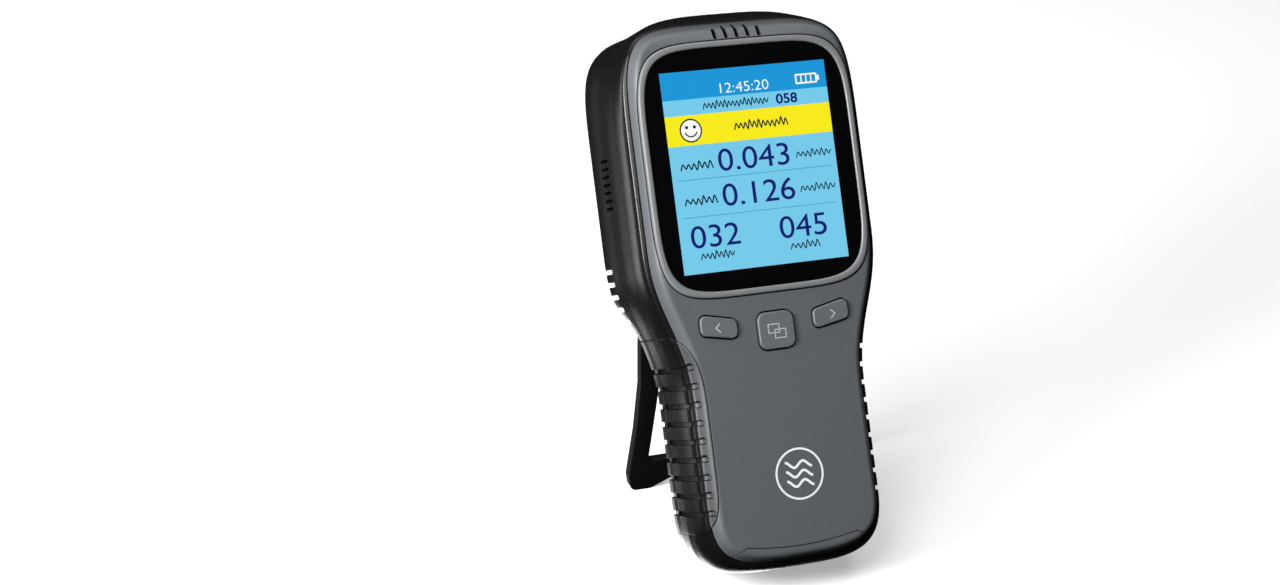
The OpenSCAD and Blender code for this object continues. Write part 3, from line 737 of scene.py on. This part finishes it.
# ------------------------------------------------------------------ printing: strokes and panels
def ribbon(points, width, closed=False):
    """Flat stroke of a width along a line, as (left, right) pairs."""
    p = np.array(points, float)
    if closed:
        edge = np.roll(p, -1, 0) - p
        before = np.roll(edge, 1, 0)
    else:
        edge = np.vstack([np.diff(p, axis=0), p[-1:] - p[-2:-1]])
        before = np.vstack([edge[:1], edge[:-1]])
    unit = [e / np.linalg.norm(e, axis=1)[:, None] for e in (before, edge)]
    t = unit[0] + unit[1]
    t /= np.linalg.norm(t, axis=1)[:, None]
    side = np.stack([-t[:, 1], t[:, 0]], -1)
    reach = width / 2 / np.maximum(0.35, np.sum(side * np.stack([-unit[1][:, 1], unit[1][:, 0]], -1), 1))
    return p + side * reach[:, None], p - side * reach[:, None]


def stroke(points, width, y, closed=False, lift=0.03):
    a, b = ribbon(points, width, closed)
    n = len(a)
    verts = [(x, h, z) for h in (y - lift, y) for row in (a, b) for x, z in row]
    faces = []
    for k in range(n if closed else n - 1):
        j = (k + 1) % n
        faces += [[k, j, n + j, n + k], [2 * n + k, 3 * n + k, 3 * n + j, 2 * n + j]]
        faces += [[k, 2 * n + k, 2 * n + j, j], [n + k, n + j, 3 * n + j, 3 * n + k]]
    if not closed:
        faces += [[0, n, 3 * n, 2 * n], [n - 1, 3 * n - 1, 4 * n - 1, 2 * n - 1]]
    return verts, faces


def panel(loop, y, lift=0.03):
    return extruded(loop, y - lift, y)


def printed(name, solids, material, body="housing"):
    obj = outward(joined(name, solids))
    obj.data.transform(PLACE)
    obj.data.materials.append(LOOK[material])
    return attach(obj, body)


KEY_FACE = -1.0
for name, body, sign in (("mark_back", "left_key", -1), ("mark_forward", "right_key", 1)):
    x = 22.4 * sign
    chevron = [(x - 0.85 * sign, 89.9), (x + 0.95 * sign, 88.3), (x - 0.85 * sign, 86.7)]
    printed(name, [stroke(chevron, 0.42, KEY_FACE)], "icon_grey", body)
pages = [box_loop(-3.3, 0.9, 84.1, 87.2), box_loop(-0.9, 3.3, 82.1, 85.2)]
printed("mark_pages", [stroke(page, 0.36, KEY_FACE, True) for page in pages], "icon_grey", "center_key")

MARK = Vector((2.0, 32.8))
waves = [stroke(circle_loop(MARK.x, MARK.y, 9.0, 96), 0.75, 0.0, True)]
for row in (-3.4, 0.0, 3.4):
    t = np.linspace(-1, 1, 33)
    wave = [(MARK.x + 5.2 * u, MARK.y + row + 1.1 * math.sin(math.pi * 1.5 * u)) for u in t]
    waves.append(stroke(wave, 0.9, 0.0))
printed("airflow_mark", waves, "ink_white")

# ------------------------------------------------------------------ display
GLASS = 0.1
LAYER = 0.012


def bar(x0, x1, z0, z1, r=0.0):
    return box_loop(x0, x1, z0, z1, r, 5)


def layer(name, loops, shade, level):
    printed("lcd_" + name, [panel(loop, GLASS - LAYER * level, 0.01) for loop in loops], "lcd_" + shade)


def digits(name, text, x, z, height, shade, level, weight=0.0, wide=1.0):
    """Figures standing on a line at z, with capitals of that height."""
    font = bpy.data.curves.new(name, "FONT")
    font.body, font.size, font.align_x = text, height / 0.73, "CENTER"
    font.offset, font.extrude, font.resolution_u = weight, 0.005, 6
    obj = bpy.data.objects.new(name, font)
    bpy.context.scene.collection.objects.link(obj)
    bpy.context.view_layer.update()
    mesh = final_mesh(obj)
    bpy.data.objects.remove(obj)
    upright = Matrix.Rotation(math.pi / 2, 4, "X") @ Matrix.Scale(wide, 4, (1, 0, 0))
    mesh.transform(PLACE @ Matrix.Translation((x, GLASS - LAYER * level, z)) @ upright)
    mesh.materials.clear()
    mesh.materials.append(LOOK["lcd_" + shade])
    obj = bpy.data.objects.new("lcd_" + name, mesh)
    bpy.context.scene.collection.objects.link(obj)
    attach(obj, "housing")


def words(name, x0, x1, z, height, count, weight=0.36, shade="dark"):
    """A wavy line where the display has a word."""
    tops = [1.0, 0.72, 0.8, 0.7, 0.94, 0.72, 0.76]
    turns = 3 * count + 1
    x = np.linspace(x0, x1, turns)
    up = np.array([
        height * tops[k % len(tops)] if k % 2 else 0.1 * height * (k % 3) for k in range(turns)
    ])
    wave = spline(np.stack([x, z + up], -1), 4)
    printed("lcd_" + name, [stroke(wave, weight, GLASS - LAYER * 3, lift=0.01)], "lcd_" + shade)


layer("ground", [bar(-32.2, 32.2, 108.2, 180.5)], "sky", 1)
layer("header", [bar(-32.2, 32.2, 170.5, 180.5)], "header", 2)
layer("band", [bar(-32.2, 32.2, 154, 164.8)], "yellow", 2)
layer("rules", [bar(-30, 30, 141.6, 141.9), bar(-30, 30, 128.2, 128.5)], "rule", 2)
layer("battery", [bar(20, 28.6, 172.3, 176, 0.4), bar(28.6, 29.5, 173.3, 175)], "white", 3)
layer("charge", [bar(20.6 + 1.95 * k, 22.1 + 1.95 * k, 172.9, 175.4) for k in range(4)], "header", 4)
digits("clock", "12:45:20", -0.7, 171.6, 3.8, "white", 3, -0.04, 1.14)
digits("level", "058", 15.7, 166.0, 3.6, "navy", 3, 0.12, 1.15)
digits("gas_value", "0.043", 0.3, 143.8, 8.4, "navy", 3, 0.0, 1.14)
digits("vapour_value", "0.126", 0.3, 131.2, 8.4, "navy", 3, 0.0, 1.14)
digits("fine_value", "032", -18.5, 117.3, 8.4, "navy", 3, 0.0, 1.14)
digits("coarse_value", "045", 16.0, 117.3, 8.4, "navy", 3, 0.0, 1.14)
words("gas_word", -28.5, -16, 145.2, 3.0, 4, 0.5)
words("vapour_word", -28.5, -16, 132.7, 3.0, 4, 0.5)
words("gas_unit", 16.6, 30.5, 145.8, 2.7, 5, 0.4)
words("vapour_unit", 16.6, 30.5, 133.3, 2.7, 5, 0.4)
words("level_word", -17, 8.5, 166.4, 2.8, 11, 0.4)
words("verdict", -6, 15, 158.0, 3.1, 8, 0.5)
words("fine_word", -25, -12, 113.0, 2.8, 5, 0.42)
words("coarse_word", 10, 21.5, 113.0, 2.8, 4, 0.42)
FACE_X, FACE_Z = -22.8, 159.3
layer("face_rim", [circle_loop(FACE_X, FACE_Z, 4.3)], "dark", 3)
layer("face", [circle_loop(FACE_X, FACE_Z, 3.75)], "white", 4)
layer("eyes", [circle_loop(FACE_X + dx, FACE_Z + 1.2, 0.62, 16) for dx in (-1.5, 1.5)], "dark", 5)
arc = np.radians(np.linspace(200, 340, 17))
smile = [(FACE_X + 2.4 * math.cos(a), FACE_Z + 0.2 + 2.4 * math.sin(a)) for a in arc]
printed("lcd_smile", [stroke(smile, 0.5, GLASS - LAYER * 5, lift=0.01)], "lcd_dark")

# ------------------------------------------------------------------ carried-over parts, softened
for node, width in {"kickstand": 0.5, "stand_bracket": 0.3, "usb_port": 0.1, "stand_pin": 0.2}.items():
    obj = frame["nodes"][node]
    m = obj.modifiers.new("weld", "WELD")
    m.merge_threshold = 0.00001
    m = obj.modifiers.new("edge", "BEVEL")
    m.width, m.segments, m.limit_method = width * MM, 3, "ANGLE"
    m.angle_limit = math.radians(30)
    obj.data.shade_smooth()

# ------------------------------------------------------------------ studio
floor_mesh = bpy.data.meshes.new("floor")
floor_mesh.from_pydata([(-6, -6, 0), (6, -6, 0), (6, 6, 0), (-6, 6, 0)], [], [(0, 1, 2, 3)])
floor = bpy.data.objects.new("floor", floor_mesh)
bpy.context.scene.collection.objects.link(floor)
floor.data.materials.append(look("floor_paper", (238, 238, 238), 0.9, mottle=0.01, patch=300, glow=0.45))
# The floor is kept out of the object's own light, so that the black plastic stays dark
floor.visible_glossy = False
floor.visible_diffuse = False
floor.visible_shadow = False


def softbox(name, where, aim, size, power, tall=None):
    light = bpy.data.lights.new(name, "AREA")
    light.shape, light.size, light.size_y, light.energy = "RECTANGLE", size, tall or size, power
    obj = bpy.data.objects.new(name, light)
    obj.location = where
    obj.rotation_mode = "QUATERNION"
    obj.rotation_quaternion = (Vector(aim) - Vector(where)).to_track_quat("-Z", "Y")
    bpy.context.scene.collection.objects.link(obj)


softbox("side", (-0.48, 0.44, -0.02), (0, 0.02, 0.1), 0.14, 0.85, 0.5)
softbox("rim", (-0.72, -0.2, 0.4), (0, 0, 0.1), 0.25, 10)
softbox("back", (0.1, 0.6, -0.8), (0, 0.02, 0.1), 0.6, 4.5)
softbox("key", (-0.5, -0.42, 0.75), (0, 0, 0.12), 0.4, 4.8)
softbox("top", (0.1, 0.5, 1.6), (0.05, 0.3, 0), 1.6, 14)
world = bpy.data.worlds.new("studio")
world.use_nodes = True
world.node_tree.nodes["Background"].inputs["Color"].default_value = (0.9, 0.95, 1.0, 1)
world.node_tree.nodes["Background"].inputs["Strength"].default_value = 0.02
bpy.context.scene.world = world
bpy.context.scene.view_settings.view_transform = "Standard"

# ------------------------------------------------------------------ camera, from the body's frame
EYE = Vector((-332.8, -785.1, 92.5))
LOOK_ALONG = Vector((0.3392, 0.9406, 0.0141))
UP_ALONG = Vector((0.1144, -0.0561, 0.9918))
turn = TILT.to_3x3()
forward = (turn @ LOOK_ALONG).normalized()
right = forward.cross(turn @ UP_ALONG).normalized()
up = right.cross(forward)
camera = bpy.data.objects.new("camera", bpy.data.cameras.new("camera"))
camera.data.lens, camera.data.sensor_width = 66.7, 36
facing = Matrix((right, up, -forward)).transposed().to_4x4()
camera.matrix_world = Matrix.Translation(PLACE @ EYE) @ facing
bpy.context.scene.collection.objects.link(camera)
bpy.context.scene.camera = camera
